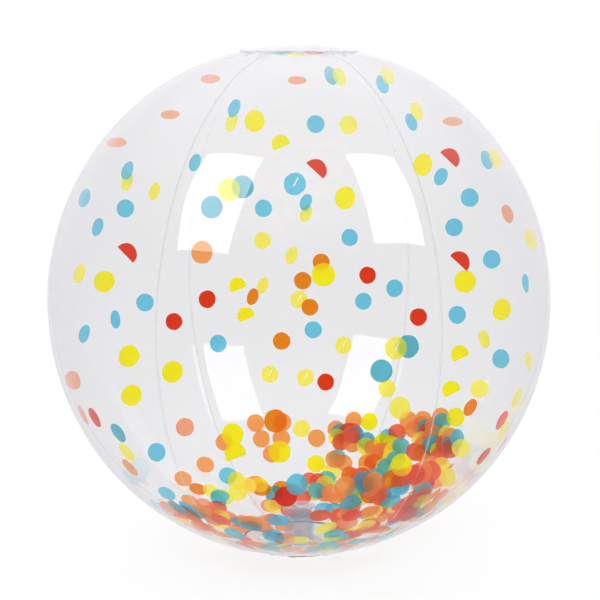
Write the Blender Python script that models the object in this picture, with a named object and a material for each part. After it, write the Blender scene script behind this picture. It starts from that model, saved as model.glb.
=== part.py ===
"""Inflatable beach ball: six clear film gores, two polar caps, a push-in valve and confetti inside.

Units are metres. +Z runs up the polar axis, and the origin is the centre of the flat patch that the
ball stands on. Azimuth is counted from -Y (the front) towards +X, and latitude from the equator.
"""

import math

import bpy
import bmesh
from mathutils import Vector

# ---- Driving dimensions ---------------------------------------------------------------------

RADIUS = 0.175                  # outside of the film at the equator
HEIGHT_RATIO = 1.0205           # polar half-height over equatorial radius
PATCH_RADIUS = 0.022            # flat patch where the ball's weight rests on the floor
FILM = 0.0003                   # thickness of the vinyl film
GAP = 0.0003                    # clearance between touching pieces

GORES = 6
WELD_WIDTH = 0.00125            # each gore's half of a seam weld
WELD_THICKNESS = 0.0005
CAP_RIM = math.radians(13.5)    # polar angle of a cap's rim
CAP_LAP = math.radians(1.2)     # how far a cap laps over the tips of the gores

VALVE_SIDES = 24
STEM_RADIUS = 0.0108
STEM_BORE = 0.0092
STEM_TOP = 0.0275               # inner end of the stem, pushed in
STEM_RING_RADIUS = 0.0122
STEM_RING_HEIGHT = 0.0025
MOUTH_RADIUS = 0.0045           # hole in the stem's end wall, which the plug closes
MOUTH_WALL = 0.0012
RECESS_DEPTH = 0.0018           # the plug's head sits in this recess
FLANGE_RADIUS = 0.018
FLANGE_THICKNESS = 0.0008
PLUG_HEAD_RADIUS = 0.0072
PLUG_HEAD_HEIGHT = 0.0012
PLUG_SHANK_LENGTH = 0.008
TETHER_WIDTH = 0.0010
TETHER_SWEEP = math.radians(150)
FLAP_THICKNESS = 0.0006

DISC_RADIUS = 0.007
DISC_THICKNESS = 0.0003
DISC_SIDES = 18
DISC_OFF_WALL = 0.0015          # clears the flat facets of the film's inner face
DISC_LAYER = 0.0018             # step between discs that cling one behind the other

HEAP_OFF_WALL = 0.0028          # the heap clears the clinging discs as it runs round
HEAP_WELL_RADIUS = 0.0165       # room for the valve in the middle of the heap
HEAP_EDGE_THICKNESS = 0.0008
HEAP_DEPTH = 0.0045             # extra thickness in the middle of the heap
HEAP_HIGH_DEPTH = 0.009         # and more where it is banked up
HEAP_AZIMUTHS = 36
HEAP_RINGS = 8
HEAP_REACH = math.radians(40)   # polar angle from the bottom that the heap reaches all round
HEAP_CLIMB = math.radians(21)   # and how much further it climbs on its high side
HEAP_HIGH_SIDE = math.radians(125)
HEAP_SPREAD = math.radians(45)  # how far round from its high side the climb falls off

# ---- Where single discs cling to the wall, by their edge --------------------------------------

ATTITUDES = {                   # azimuth and elevation of a disc's face, in degrees
    "upright": (0, 9),
    "cocked": (28, 0),
    "rising": (-50, 20),
    "level": (0, 66),
}
TURN_TO_WALL = 22               # how far an upright disc at the side turns towards the wall
TURN_SWAY = 8

CLINGING = [                    # colour, attitude, layers off the wall, (azimuth, latitude) in degrees
    ("yellow", "cocked", 0, [(-15, 50), (35, 37), (11, 30), (-49, 10), (49, 4), (-40, -5), (-28, -7),
                             (-41, -14)]),
    ("yellow", "upright", 0, [(38, 11), (5, 14), (-17, 31.5), (20, -1), (22, -14), (-170, 7),
                              (162, 43), (180, -9)]),
    ("yellow", "rising", 0, [(-134, 23)]),
    ("blue", "upright", 0, [(-1, 33), (-20.5, 27.5), (17, -5.5)]),
    ("blue", "upright", 1, [(-14, 32.5), (23, -1)]),
    ("blue", "upright", 0, [(-170, 16), (-124, 19), (-134, -7), (-156, -20), (174, 43), (124, 22),
                            (166, 8), (132, -10), (109, -18)]),
    ("blue", "rising", 0, [(-98, 24)]),
    ("red", "upright", 0, [(-154, -8), (-143, -13), (161, -2), (145, -12)]),
    ("orange", "upright", 0, [(-5, -16), (174, 1), (-175, -20), (-21, 18)]),
    ("salmon", "level", 0, [(-124, 63), (-179, 62), (-123, 48), (-95, 40), (109, 46)]),
]

COLOURS = {
    "film": (0.90, 0.90, 0.92),
    "frosted": (0.75, 0.76, 0.79),
    "yellow": (0.89, 0.76, 0.03),
    "blue": (0.08, 0.43, 0.60),
    "red": (0.72, 0.03, 0.01),
    "orange": (0.84, 0.26, 0.01),
    "salmon": (0.87, 0.42, 0.24),
}

# ---- Sizes that follow ----------------------------------------------------------------------

POLAR_RADIUS = RADIUS * HEIGHT_RATIO
CAP_OUT = GAP + FILM            # how far a cap's outer face stands proud of the gores
PATCH_ANGLE = math.asin(PATCH_RADIUS / (RADIUS + CAP_OUT))
CENTRE_Z = (POLAR_RADIUS + CAP_OUT) * math.cos(PATCH_ANGLE)
GORE_TIP = CAP_RIM - CAP_LAP
FLANGE_BORE = STEM_RADIUS + GAP
STEM_BOTTOM = FILM + GAP
FLANGE_BOTTOM = FILM + GAP


def skin_radius_and_height(polar, offset):
    """Distance from the axis and height of the skin at a polar angle, moved out by an offset."""
    return (RADIUS + offset) * math.sin(polar), CENTRE_Z + (POLAR_RADIUS + offset) * math.cos(polar)


def around(radius, azimuth, height):
    """A point at an azimuth counted from the front (-Y) towards +X."""
    return Vector((radius * math.sin(azimuth), -radius * math.cos(azimuth), height))


def on_skin(polar, azimuth, offset):
    radius, height = skin_radius_and_height(polar, offset)
    return around(radius, azimuth, height)


# ---- Mesh and object helpers ----------------------------------------------------------------

def make_material(name):
    material = bpy.data.materials.new(name)
    material.use_nodes = True
    shader = material.node_tree.nodes["Principled BSDF"]
    colour_name = next(colour for colour in COLOURS if name.startswith(colour))
    shader.inputs["Base Color"].default_value = (*COLOURS[colour_name], 1.0)
    shader.inputs["Roughness"].default_value = 0.35 if colour_name == "frosted" else 0.2
    shader.inputs["Metallic"].default_value = 0.0
    return material


def add_object(name, mesh_builder, colour_name):
    """Turn a finished bmesh into an object with its own material and outward faces."""
    bmesh.ops.recalc_face_normals(mesh_builder, faces=mesh_builder.faces)
    mesh = bpy.data.meshes.new(name)
    mesh_builder.to_mesh(mesh)
    mesh_builder.free()
    mesh.materials.append(make_material(f"{colour_name}_{name}"))
    mesh.shade_smooth()
    mesh.set_sharp_from_angle(angle=math.radians(30))
    new_object = bpy.data.objects.new(name, mesh)
    bpy.context.collection.objects.link(new_object)
    return new_object


def set_pivot(moving_object, pivot):
    """Put an object's origin on its joint's axis without moving its mesh in space."""
    for vertex in moving_object.data.vertices:
        vertex.co -= pivot
    moving_object.location = pivot


def closed_sheet(outer, inner):
    """Close two equal grids of points into a thin solid with a wall all round its edge."""
    builder = bmesh.new()
    rows, columns = len(outer), len(outer[0])
    outer_grid = [[builder.verts.new(point) for point in row] for row in outer]
    inner_grid = [[builder.verts.new(point) for point in row] for row in inner]
    for row in range(rows - 1):
        for column in range(columns - 1):
            for grid in (outer_grid, inner_grid):
                builder.faces.new((grid[row][column], grid[row][column + 1],
                                   grid[row + 1][column + 1], grid[row + 1][column]))
    edge = [(0, column) for column in range(columns - 1)]
    edge += [(row, columns - 1) for row in range(rows - 1)]
    edge += [(rows - 1, column) for column in range(columns - 1, 0, -1)]
    edge += [(row, 0) for row in range(rows - 1, 0, -1)]
    for (row, column), (next_row, next_column) in zip(edge, edge[1:] + edge[:1]):
        builder.faces.new((outer_grid[row][column], outer_grid[next_row][next_column],
                           inner_grid[next_row][next_column], inner_grid[row][column]))
    return builder


def turned(profile, sides):
    """Turn a closed profile of (radius, height) points about Z. Radius 0 points become poles."""
    builder = bmesh.new()
    rings = []
    for radius, height in profile:
        if radius == 0:
            rings.append([builder.verts.new((0, 0, height))] * sides)
            continue
        rings.append([builder.verts.new(around(radius, 2 * math.pi * side / sides, height))
                      for side in range(sides)])
    for ring, next_ring in zip(rings, rings[1:] + rings[:1]):
        for side in range(sides):
            corners = (ring[side], ring[(side + 1) % sides],
                       next_ring[(side + 1) % sides], next_ring[side])
            distinct = list(dict.fromkeys(corners))
            if len(distinct) > 2:
                builder.faces.new(distinct)
    return builder


# ---- The skin -------------------------------------------------------------------------------

GORE_ROWS = 20
GORE_COLUMNS = 7                # columns of plain film between the two weld strips


def gore_columns(polar):
    """Azimuths across half a gore's width and the film's thickness at each, from edge to edge."""
    ring_radius = RADIUS * math.sin(polar)
    edge = math.pi / GORES - 0.5 * GAP / ring_radius
    weld = edge - WELD_WIDTH / ring_radius
    columns = [(-edge, WELD_THICKNESS), (-weld, WELD_THICKNESS)]
    film_edge = weld - 0.5 * WELD_WIDTH / ring_radius
    for column in range(GORE_COLUMNS + 1):
        columns.append((film_edge * (2 * column / GORE_COLUMNS - 1), FILM))
    columns += [(weld, WELD_THICKNESS), (edge, WELD_THICKNESS)]
    return columns


def build_gore(name, middle):
    outer, inner = [], []
    for row in range(GORE_ROWS + 1):
        polar = GORE_TIP + (math.pi - 2 * GORE_TIP) * row / GORE_ROWS
        columns = gore_columns(polar)
        outer.append([on_skin(polar, middle + azimuth, 0) for azimuth, _ in columns])
        inner.append([on_skin(polar, middle + azimuth, -thickness) for azimuth, thickness in columns])
    return add_object(name, closed_sheet(outer, inner), "film")


def build_gores():
    names = ("front", "front_right", "back_right", "back", "back_left", "front_left")
    for index, name in enumerate(names):
        build_gore(f"gore_{name}", 2 * math.pi * index / GORES)


CAP_SIDES = 36
CAP_RING_SHARES = (0, 0.35, 0.7, 0.9, 1)    # of the way from the middle to the rim: closest at the lap


def build_top_cap():
    """A round patch over the gores' upper tips."""
    polars = [CAP_RIM * share for share in CAP_RING_SHARES]
    outside = [skin_radius_and_height(polar, CAP_OUT) for polar in polars]
    inside = [skin_radius_and_height(polar, GAP) for polar in reversed(polars)]
    return add_object("top_cap", turned(outside + inside, CAP_SIDES), "film")


def build_bottom_cap():
    """A round patch over the lower tips, flat where the ball stands, with a hole for the valve."""
    polars = [math.pi - PATCH_ANGLE - (CAP_RIM - PATCH_ANGLE) * share
              for share in reversed(CAP_RING_SHARES[1:])]
    outside = [skin_radius_and_height(polar, CAP_OUT) for polar in polars]
    outside += [(PATCH_RADIUS, 0.0), (FLANGE_BORE, 0.0)]
    inside = [(FLANGE_BORE, FILM), (PATCH_RADIUS, FILM)]
    inside += [skin_radius_and_height(polar, GAP) for polar in reversed(polars)]
    return add_object("bottom_cap", turned(outside + inside, CAP_SIDES), "film")


# ---- The valve ------------------------------------------------------------------------------

def build_valve_flange():
    top = FLANGE_BOTTOM + FLANGE_THICKNESS
    profile = [(FLANGE_RADIUS, FLANGE_BOTTOM), (FLANGE_RADIUS, FLANGE_BOTTOM + 0.5 * FLANGE_THICKNESS),
               (FLANGE_RADIUS - 0.5 * FLANGE_THICKNESS, top), (FLANGE_BORE, top),
               (FLANGE_BORE, FLANGE_BOTTOM)]
    return add_object("valve_flange", turned(profile, VALVE_SIDES), "frosted")


def build_valve_stem():
    """A tube with a ring at its inner end, and an end wall with the mouth near its outer end."""
    wall_bottom = STEM_BOTTOM + RECESS_DEPTH
    wall_top = wall_bottom + MOUTH_WALL
    ring_bottom = STEM_TOP - STEM_RING_HEIGHT
    profile = [(STEM_RADIUS, STEM_BOTTOM), (STEM_RADIUS, ring_bottom),
               (STEM_RING_RADIUS, ring_bottom), (STEM_RING_RADIUS, STEM_TOP),
               (STEM_BORE, STEM_TOP), (STEM_BORE, wall_top), (MOUTH_RADIUS, wall_top),
               (MOUTH_RADIUS, wall_bottom), (STEM_BORE, wall_bottom), (STEM_BORE, STEM_BOTTOM)]
    return add_object("valve_stem", turned(profile, VALVE_SIDES), "frosted")


def build_valve_plug():
    """A stopper: a flat head in the recess and a tapered shank up through the mouth."""
    head_top = STEM_BOTTOM + PLUG_HEAD_HEIGHT
    shank_radius = MOUTH_RADIUS - GAP
    shank_top = head_top + PLUG_SHANK_LENGTH
    profile = [(0, STEM_BOTTOM), (PLUG_HEAD_RADIUS, STEM_BOTTOM), (PLUG_HEAD_RADIUS, head_top),
               (shank_radius, head_top), (shank_radius, shank_top - 0.003),
               (0.75 * shank_radius, shank_top), (0, shank_top)]
    plug = add_object("valve_plug", turned(profile, VALVE_SIDES), "frosted")
    set_pivot(plug, Vector((0, 0, STEM_BOTTOM)))
    return plug


TETHER_STEPS = 14


def build_valve_tether():
    """A curled strap in the recess, between the plug's head and the stem's wall."""
    middle = 0.5 * (PLUG_HEAD_RADIUS + STEM_BORE * math.cos(math.pi / VALVE_SIDES))
    low, high = STEM_BOTTOM, STEM_BOTTOM + PLUG_HEAD_HEIGHT
    outer, inner = [], []
    for step in range(TETHER_STEPS + 1):
        azimuth = TETHER_SWEEP * (step / TETHER_STEPS - 0.5)
        outer.append([around(middle + 0.5 * TETHER_WIDTH, azimuth, height) for height in (low, high)])
        inner.append([around(middle - 0.5 * TETHER_WIDTH, azimuth, height) for height in (low, high)])
    return add_object("valve_tether", closed_sheet(outer, inner), "frosted")


def build_valve_flap():
    """A round flap on the stem's inner end, with its hinge at the back edge."""
    low = STEM_TOP + GAP
    high = low + FLAP_THICKNESS
    radius = STEM_RING_RADIUS - GAP
    profile = [(0, low), (radius, low), (radius, high), (0, high)]
    flap = add_object("valve_flap", turned(profile, VALVE_SIDES), "frosted")
    set_pivot(flap, Vector((0, radius, low)))
    return flap


# ---- The confetti ---------------------------------------------------------------------------

def direction(azimuth, elevation):
    """Unit vector at an azimuth from the front and an elevation, both in degrees."""
    level = math.cos(math.radians(elevation))
    return around(level, math.radians(azimuth), math.sin(math.radians(elevation)))


def disc_face(attitude, azimuth):
    """Unit vector square to a disc. Upright discs turn towards the wall where they hang at the side."""
    face_azimuth, elevation = ATTITUDES[attitude]
    if attitude == "upright":
        turn = math.radians(azimuth)
        face_azimuth += TURN_TO_WALL * math.sin(turn) + TURN_SWAY * math.sin(5 * turn)
    return direction(face_azimuth, elevation)


def build_clinging_disc(name, azimuth, latitude, attitude, layer, colour_name):
    """A round film disc inside the wall, which it touches with the nearest point of its rim."""
    polar = math.radians(90 - latitude)
    turn = math.radians(azimuth)
    out = on_skin(polar, turn, 0) - Vector((0, 0, CENTRE_Z))
    wall = Vector((out.x / RADIUS ** 2, out.y / RADIUS ** 2, out.z / POLAR_RADIUS ** 2)).normalized()
    face = disc_face(attitude, azimuth)
    lean = math.sqrt(max(0.0, 1 - face.dot(wall) ** 2))
    off_wall = FILM + DISC_OFF_WALL + DISC_LAYER * layer + DISC_RADIUS * lean
    centre = on_skin(polar, turn, -off_wall)
    across = face.cross(Vector((0, 0, 1))).normalized()
    up = across.cross(face)
    builder = bmesh.new()
    rims = []
    for side_of_disc in (0.5, -0.5):
        middle = centre + face * DISC_THICKNESS * side_of_disc
        rims.append([builder.verts.new(middle
                                       + across * DISC_RADIUS * math.cos(2 * math.pi * side / DISC_SIDES)
                                       + up * DISC_RADIUS * math.sin(2 * math.pi * side / DISC_SIDES))
                     for side in range(DISC_SIDES)])
    builder.faces.new(rims[0])
    builder.faces.new(rims[1])
    for side in range(DISC_SIDES):
        following = (side + 1) % DISC_SIDES
        builder.faces.new((rims[0][side], rims[0][following], rims[1][following], rims[1][side]))
    return add_object(name, builder, colour_name)


def build_clinging_confetti():
    made = dict.fromkeys(COLOURS, 0)
    for colour_name, attitude, layer, places in CLINGING:
        for azimuth, latitude in places:
            made[colour_name] += 1
            name = f"confetti_{colour_name}_{made[colour_name]:02d}"
            build_clinging_disc(name, azimuth, latitude, attitude, layer, colour_name)


def heap_bank(azimuth):
    """How far the heap is banked up at an azimuth, from 0 to 1 on its high side."""
    away = math.atan2(math.sin(azimuth - HEAP_HIGH_SIDE), math.cos(azimuth - HEAP_HIGH_SIDE))
    return math.exp(-(away / HEAP_SPREAD) ** 2)


def heap_floor(from_bottom, azimuth):
    """A point on the heap's underside, which follows the inside of the ball."""
    radius, height = skin_radius_and_height(math.pi - from_bottom, -HEAP_OFF_WALL)
    return around(radius, azimuth, max(height, HEAP_OFF_WALL + FILM))


def build_confetti_heap():
    """One plain solid for the loose confetti: a shallow ring with a well round the valve."""
    builder = bmesh.new()
    well_angle = math.asin(HEAP_WELL_RADIUS / (RADIUS - HEAP_OFF_WALL))
    under, over = [], []
    for ring in range(HEAP_RINGS + 1):
        share = ring / HEAP_RINGS
        under_ring, over_ring = [], []
        for side in range(HEAP_AZIMUTHS):
            azimuth = 2 * math.pi * side / HEAP_AZIMUTHS
            bank = heap_bank(azimuth)
            from_bottom = well_angle + (HEAP_REACH + HEAP_CLIMB * bank - well_angle) * share
            foot = heap_floor(from_bottom, azimuth)
            inward = Vector((-foot.x, -foot.y, CENTRE_Z - foot.z)).normalized()
            depth = HEAP_DEPTH + HEAP_HIGH_DEPTH * bank * math.sin(math.pi * share)
            thickness = HEAP_EDGE_THICKNESS + depth * (1 - share ** 2)
            if ring == 0:
                inward = Vector((0, 0, 1))
            under_ring.append(builder.verts.new(foot))
            over_ring.append(builder.verts.new(foot + inward * thickness))
        under.append(under_ring)
        over.append(over_ring)
    for side in range(HEAP_AZIMUTHS):
        following = (side + 1) % HEAP_AZIMUTHS
        for rings in (under, over):
            for ring, next_ring in zip(rings, rings[1:]):
                builder.faces.new((ring[side], ring[following], next_ring[following], next_ring[side]))
        for ring in (0, HEAP_RINGS):
            builder.faces.new((under[ring][side], under[ring][following],
                               over[ring][following], over[ring][side]))
    return add_object("confetti_heap", builder, "orange")


def main():
    for old_object in list(bpy.data.objects):
        bpy.data.objects.remove(old_object, do_unlink=True)
    build_gores()
    build_top_cap()
    build_bottom_cap()
    build_valve_flange()
    build_valve_stem()
    build_valve_plug()
    build_valve_tether()
    build_valve_flap()
    build_clinging_confetti()
    build_confetti_heap()


main()
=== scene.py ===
"""Looks of the inflatable beach ball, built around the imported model.

Units are metres, in the model's own frame: +Z runs up the polar axis and -Y is the front. Azimuth is
counted from the front towards +X, and latitude from the equator.
"""

import math
import random

import bpy
import bmesh
import numpy as np
from mathutils import Matrix, Vector, noise


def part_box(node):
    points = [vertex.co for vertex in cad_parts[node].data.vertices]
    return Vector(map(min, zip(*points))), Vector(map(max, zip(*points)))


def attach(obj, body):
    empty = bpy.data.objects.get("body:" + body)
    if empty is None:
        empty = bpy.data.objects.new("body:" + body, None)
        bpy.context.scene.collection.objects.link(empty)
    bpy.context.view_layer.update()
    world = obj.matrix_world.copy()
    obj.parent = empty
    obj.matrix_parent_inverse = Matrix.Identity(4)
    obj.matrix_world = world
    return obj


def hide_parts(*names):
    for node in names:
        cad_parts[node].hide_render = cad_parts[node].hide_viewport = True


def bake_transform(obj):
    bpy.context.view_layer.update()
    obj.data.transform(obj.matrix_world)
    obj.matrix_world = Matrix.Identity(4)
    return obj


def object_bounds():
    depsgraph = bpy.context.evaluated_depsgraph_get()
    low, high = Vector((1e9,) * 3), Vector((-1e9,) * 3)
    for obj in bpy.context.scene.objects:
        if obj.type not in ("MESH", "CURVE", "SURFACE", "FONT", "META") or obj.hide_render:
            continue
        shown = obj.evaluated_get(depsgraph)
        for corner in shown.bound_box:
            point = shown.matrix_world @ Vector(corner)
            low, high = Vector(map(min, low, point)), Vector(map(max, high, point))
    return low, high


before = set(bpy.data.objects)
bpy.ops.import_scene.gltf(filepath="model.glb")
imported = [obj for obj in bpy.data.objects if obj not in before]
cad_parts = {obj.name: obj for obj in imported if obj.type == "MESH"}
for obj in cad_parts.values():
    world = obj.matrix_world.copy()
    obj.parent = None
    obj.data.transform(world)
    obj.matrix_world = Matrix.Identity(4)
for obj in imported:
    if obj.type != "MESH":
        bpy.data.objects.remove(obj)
CAD_BOUNDS = [[float(value) for value in corner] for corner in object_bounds()]

# ---- Sizes, from the frame and the film's own gauge ----

RADIUS = CAD_BOUNDS[1][0]
HEIGHT = CAD_BOUNDS[1][2]
FILM = 0.0003
GAP = 0.0003
CAP_OUT = FILM + GAP
PATCH_RADIUS = 0.022
PATCH_ANGLE = math.asin(PATCH_RADIUS / (RADIUS + CAP_OUT))
POLAR_RADIUS = HEIGHT / (1 + math.cos(PATCH_ANGLE)) - CAP_OUT
CENTRE_Z = HEIGHT - POLAR_RADIUS - CAP_OUT
CAP_RIM = math.asin(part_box("top_cap")[1].x / (RADIUS + CAP_OUT))
GORE_TIP = CAP_RIM - math.radians(1.2)
GORES = 6
SECTOR = 2 * math.pi / GORES

WELD_WIDTH = 0.00125            # each gore's half of a seam weld
SEAM_GAP = 0.00004              # what is left between two gores in the middle of a weld
SEAM_VALLEY = 0.00016           # how far a weld pulls the film in
SEAM_VALLEY_WIDTH = 0.0045
SEAM_RIPPLE = 0.00006           # the small ripples that welding leaves
SEAM_RIPPLE_WIDTH = 0.006
SWAY = 0.00035                  # broad unevenness of the inflated film
GORE_BULGE = 0.0004
PUCKER = 0.00030                # radial puckers where the gores run under a cap

DISC_RADIUS = 0.007
DISC_THICKNESS = 0.00015
DISC_SKINS = (0.5 * DISC_THICKNESS, -0.5 * DISC_THICKNESS)
DISC_OFF_WALL = 0.0015
DISC_LAYER = 0.0018
TURN_TO_WALL = 22               # how far an upright disc at the side turns towards the wall, in degrees
TURN_SWAY = 8                   # and how unevenly


# ---- Geometry of the skin ----

def around(radius, azimuth, height):
    """A point at an azimuth counted from the front (-Y) towards +X."""
    return Vector((radius * math.sin(azimuth), -radius * math.cos(azimuth), height))


POLE_DIP = 0.0026               # the top is a little flatter than the rest, out to POLE_DIP_REACH
POLE_DIP_REACH = 0.085


def pole_dip(radius):
    share = max(0.0, 1 - radius / POLE_DIP_REACH)
    return POLE_DIP * share * share * (3 - 2 * share)


def on_skin(polar, azimuth, offset):
    """A point at a polar angle from the top, moved out from the gores' outer face by an offset."""
    radius = (RADIUS + offset) * math.sin(polar)
    height = (POLAR_RADIUS + offset) * math.cos(polar)
    return around(radius, azimuth, CENTRE_Z + height - (pole_dip(radius) if height > 0 else 0))


def wall_normal(polar, azimuth):
    out = on_skin(polar, azimuth, 0) - Vector((0, 0, CENTRE_Z))
    return Vector((out.x / RADIUS ** 2, out.y / RADIUS ** 2, out.z / POLAR_RADIUS ** 2)).normalized()


def direction(azimuth, elevation):
    """Unit vector at an azimuth from the front and an elevation, both in degrees."""
    level = math.cos(math.radians(elevation))
    return around(level, math.radians(azimuth), math.sin(math.radians(elevation)))


# ---- Mesh helpers ----

SHARP_ANGLE = math.radians(35)  # sharper turns are shaded as edges


def add_piece(name, builder, materials, body, slot, *nodes):
    """Turn a finished bmesh into a piece that rides on a body and stands for CAD nodes."""
    bmesh.ops.recalc_face_normals(builder, faces=builder.faces)
    mesh = bpy.data.meshes.new(name)
    builder.to_mesh(mesh)
    builder.free()
    for material in materials:
        mesh.materials.append(material)
    mesh.shade_smooth()
    mesh.set_sharp_from_angle(angle=SHARP_ANGLE)
    piece = bpy.data.objects.new(name, mesh)
    bpy.context.scene.collection.objects.link(piece)
    if nodes:
        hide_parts(*nodes)
    if body:
        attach(piece, body)
    return piece


def bridge(builder, ring, next_ring, material=0):
    """A band of faces between two closed rings of corners. A ring may be one corner repeated."""
    for side in range(len(ring)):
        following = (side + 1) % len(ring)
        corners = dict.fromkeys((ring[side], ring[following], next_ring[following], next_ring[side]))
        if len(corners) > 2:
            builder.faces.new(list(corners)).material_index = material


def closed_sheet(outer, inner, column_material):
    """Close two equal grids of points into a thin solid. column_material gives each column's slot."""
    builder = bmesh.new()
    rows, columns = len(outer), len(outer[0])
    outer_grid = [[builder.verts.new(point) for point in row] for row in outer]
    inner_grid = [[builder.verts.new(point) for point in row] for row in inner]
    for row in range(rows - 1):
        for column in range(columns - 1):
            for grid in (outer_grid, inner_grid):
                face = builder.faces.new((grid[row][column], grid[row][column + 1],
                                          grid[row + 1][column + 1], grid[row + 1][column]))
                face.material_index = column_material[column]
    edge = [(0, column) for column in range(columns - 1)]
    edge += [(row, columns - 1) for row in range(rows - 1)]
    edge += [(rows - 1, column) for column in range(columns - 1, 0, -1)]
    edge += [(row, 0) for row in range(rows - 1, 0, -1)]
    bridge(builder, *([grid[row][column] for row, column in edge] for grid in (outer_grid, inner_grid)))
    return builder


def turned(profile, sides):
    """Turn a closed profile of (radius, height) points about Z. Radius 0 points become poles."""
    builder = bmesh.new()
    rings = []
    for radius, height in profile:
        if radius == 0:
            rings.append([builder.verts.new((0, 0, height))] * sides)
            continue
        rings.append([builder.verts.new(around(radius, 2 * math.pi * side / sides, height))
                      for side in range(sides)])
    for ring, next_ring in zip(rings, rings[1:] + rings[:1]):
        bridge(builder, ring, next_ring)
    return builder


def rounded(profile, radius, steps=3):
    """A closed profile with its corners rounded, each by at most 40% of its shorter side."""
    points = [Vector(point) for point in profile]
    result = []
    for index, corner in enumerate(points):
        before, after = points[index - 1], points[(index + 1) % len(points)]
        if corner.x == 0:
            result.append((0.0, corner.y))
            continue
        reach = min(radius, 0.4 * (before - corner).length, 0.4 * (after - corner).length)
        start = corner + (before - corner).normalized() * reach
        end = corner + (after - corner).normalized() * reach
        for step in range(steps + 1):
            share = step / steps
            point = start.lerp(corner, share).lerp(corner.lerp(end, share), share)
            result.append((point.x, point.y))
    return result


# ---- Node helpers ----

class Nodes:
    """Short forms for making and linking the nodes of a material or a world."""

    def __init__(self, owner):
        owner.use_nodes = True
        self.owner = owner
        self.tree = owner.node_tree
        self.tree.nodes.clear()

    def add(self, kind, settings=None, **inputs):
        node = self.tree.nodes.new(kind)
        for key, value in (settings or {}).items():
            setattr(node, key, value)
        for key, value in inputs.items():
            self.feed(node.inputs[key.replace("_", " ")], value)
        return node

    def feed(self, socket, value):
        """Set a socket, or link it. A node stands for its first output."""
        if isinstance(value, bpy.types.Node):
            value = value.outputs[0]
        if isinstance(value, bpy.types.NodeSocket):
            self.tree.links.new(value, socket)
        else:
            socket.default_value = value

    def math(self, operation, first, second=0.0, third=0.0):
        node = self.tree.nodes.new("ShaderNodeMath")
        node.operation = operation
        for socket, value in zip(node.inputs, (first, second, third)):
            self.feed(socket, value)
        return node.outputs[0]

    def ramp(self, value, low, high, to_low, to_high, shape="LINEAR"):
        node = self.tree.nodes.new("ShaderNodeMapRange")
        node.interpolation_type = shape
        for socket, given in zip(node.inputs, (value, low, high, to_low, to_high)):
            self.feed(socket, given)
        return node.outputs[0]

    def mix_shader(self, share, first, second):
        node = self.tree.nodes.new("ShaderNodeMixShader")
        for socket, value in zip(node.inputs, (share, first, second)):
            self.feed(socket, value)
        return node.outputs[0]

    def mix_colour(self, share, first, second, blend="MIX"):
        node = self.tree.nodes.new("ShaderNodeMix")
        node.data_type = "RGBA"
        node.blend_type = blend
        self.feed(node.inputs[0], share)
        self.feed(node.inputs[6], first)
        self.feed(node.inputs[7], second)
        return node.outputs[2]

    def place(self):
        return self.add("ShaderNodeTexCoord").outputs["Object"]

    def finish(self, shader, output="ShaderNodeOutputMaterial"):
        self.tree.links.new(shader, self.tree.nodes.new(output).inputs["Surface"])
        return self.owner


def film_fresnel(nodes, normal):
    """Reflectance of one face of the film, the same from outside and from inside."""
    geometry = nodes.add("ShaderNodeNewGeometry")
    index = nodes.ramp(geometry.outputs["Backfacing"], 0.0, 1.0, 1.5, 1 / 1.5)
    return nodes.add("ShaderNodeFresnel", IOR=index, Normal=normal).outputs[0]


# ---- Materials ----

MILKY = (0.86, 0.86, 0.90)


def film_material(name, tint, haze, wrinkle, milk_colour=MILKY):
    """Clear vinyl film: tinted clear with mirror gloss, faint haze and slight unevenness."""
    nodes = Nodes(bpy.data.materials.new(name))
    place = nodes.place()
    broad = nodes.add("ShaderNodeTexNoise", Vector=place, Scale=14.0, Detail=2.0, Roughness=0.45)
    fine = nodes.add("ShaderNodeTexNoise", Vector=place, Scale=420.0, Detail=3.0, Roughness=0.6)
    bump = nodes.add("ShaderNodeBump", Strength=0.2, Distance=wrinkle, Height=broad)
    bump = nodes.add("ShaderNodeBump", Strength=0.04, Distance=0.00006, Height=fine, Normal=bump)
    clear = nodes.add("ShaderNodeBsdfTransparent", Color=(*tint, 1.0))
    rough = nodes.ramp(broad, 0.3, 0.7, 0.015, 0.045)
    gloss = nodes.add("ShaderNodeBsdfGlossy", Color=(1, 1, 1, 1), Roughness=rough, Normal=bump)
    film = nodes.mix_shader(film_fresnel(nodes, bump), clear, gloss)
    milk = nodes.add("ShaderNodeBsdfTranslucent", Color=(*milk_colour, 1.0))
    dust = nodes.add("ShaderNodeTexNoise", Vector=place, Scale=55.0, Detail=5.0, Roughness=0.65)
    amount = nodes.ramp(dust, 0.35, 0.75, 0.3 * haze, 1.7 * haze)
    return nodes.finish(nodes.mix_shader(amount, film, milk))


def frosted_material(name):
    """Moulded clear vinyl with a frosted skin, as on the valve."""
    nodes = Nodes(bpy.data.materials.new(name))
    place = nodes.place()
    grain = nodes.add("ShaderNodeTexNoise", Vector=place, Scale=900.0, Detail=4.0, Roughness=0.7)
    flow = nodes.add("ShaderNodeTexNoise", Vector=place, Scale=140.0, Detail=2.0, Distortion=0.8)
    bump = nodes.add("ShaderNodeBump", Strength=0.35, Distance=0.0001, Height=grain)
    colour = nodes.mix_colour(flow, (0.50, 0.50, 0.54, 1), (0.78, 0.78, 0.82, 1))
    body = nodes.add("ShaderNodeBsdfPrincipled", Base_Color=colour, Normal=bump)
    nodes.feed(body.inputs["Roughness"], nodes.ramp(grain, 0.3, 0.7, 0.25, 0.5))
    clear = nodes.add("ShaderNodeBsdfTransparent", Color=(0.91, 0.905, 0.93, 1))
    amount = nodes.ramp(flow, 0.3, 0.7, 0.10, 0.26)
    return nodes.finish(nodes.mix_shader(amount, clear, body))


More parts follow.
